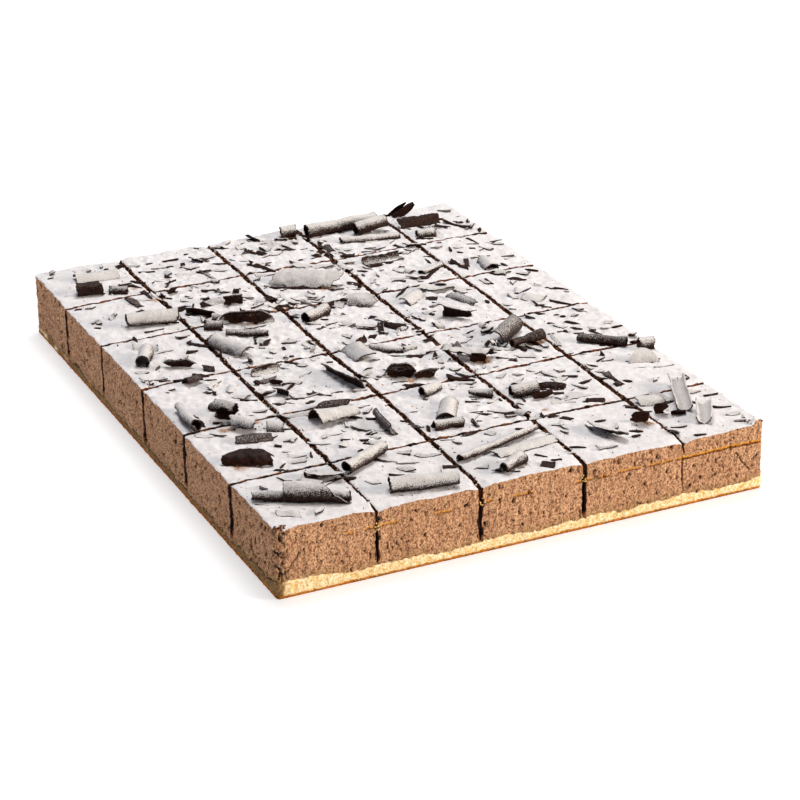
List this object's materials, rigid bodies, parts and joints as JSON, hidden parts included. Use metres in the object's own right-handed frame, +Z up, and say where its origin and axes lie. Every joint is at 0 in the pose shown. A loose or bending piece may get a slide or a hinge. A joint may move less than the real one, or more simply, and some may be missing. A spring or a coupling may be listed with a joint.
{
  "type": "black forest sheet cake",
  "caption": "Rectangular sheet cake: thin pale sponge base, thick chocolate mousse cut into portions down to the sponge, icing sugar and shaved chocolate curls on top.",
  "frame": {"origin": "centre of the sponge's flat underside", "axes": "+Z up; +Y along the cake's long side, away from the front; +X along its short side, to the right seen from the front"},
  "size_m": [0.28, 0.385, 0.0505],
  "materials": {
    "sponge": "matte",
    "mousse": "matte",
    "chocolate": "satin"
  },
  "bodies": {
    "root": {"sponge_base": "sponge", "mousse_r1_c1": "mousse", "mousse_r1_c2": "mousse", "mousse_r1_c3": "mousse", "mousse_r1_c4": "mousse", "mousse_r1_c5": "mousse", "mousse_r2_c1": "mousse", "mousse_r2_c2": "mousse", "mousse_r2_c3": "mousse", "mousse_r2_c4": "mousse", "mousse_r2_c5": "mousse", "mousse_r3_c1": "mousse", "mousse_r3_c2": "mousse", "mousse_r3_c3": "mousse", "mousse_r3_c4": "mousse", "mousse_r3_c5": "mousse", "mousse_r4_c1": "mousse", "mousse_r4_c2": "mousse", "mousse_r4_c3": "mousse", "mousse_r4_c4": "mousse", "mousse_r4_c5": "mousse", "mousse_r5_c1": "mousse", "mousse_r5_c2": "mousse", "mousse_r5_c3": "mousse", "mousse_r5_c4": "mousse", "mousse_r5_c5": "mousse", "mousse_r6_c1": "mousse", "mousse_r6_c2": "mousse", "mousse_r6_c3": "mousse", "mousse_r6_c4": "mousse", "mousse_r6_c5": "mousse", "curl_arched_sheet": "chocolate", "curl_back_overlap": "chocolate", "curl_back_tube": "chocolate", "curl_broad_roll": "chocolate", "curl_cluster_scroll": "chocolate", "curl_cluster_tube": "chocolate", "curl_corner_tube": "chocolate", "curl_corner_wrap": "chocolate", "curl_crumpled": "chocolate", "curl_curled_stick": "chocolate", "curl_dark_cone": "chocolate", "curl_dark_roll": "chocolate", "curl_dark_shell": "chocolate", "curl_dark_slab": "chocolate", "curl_dark_stick": "chocolate", "curl_dark_tongue": "chocolate", "curl_edge_scroll": "chocolate", "curl_front_slanted_tube": "chocolate", "curl_front_tube": "chocolate", "curl_half_shell": "chocolate", "curl_left_wrap": "chocolate", "curl_long_roll": "chocolate", "curl_long_slab": "chocolate", "curl_open_cone": "chocolate", "curl_ragged_sheet": "chocolate", "curl_raised_trough": "chocolate", "curl_right_trough": "chocolate", "curl_right_tube": "chocolate", "curl_wide_tube": "chocolate"}
  },
  "joints": []
}
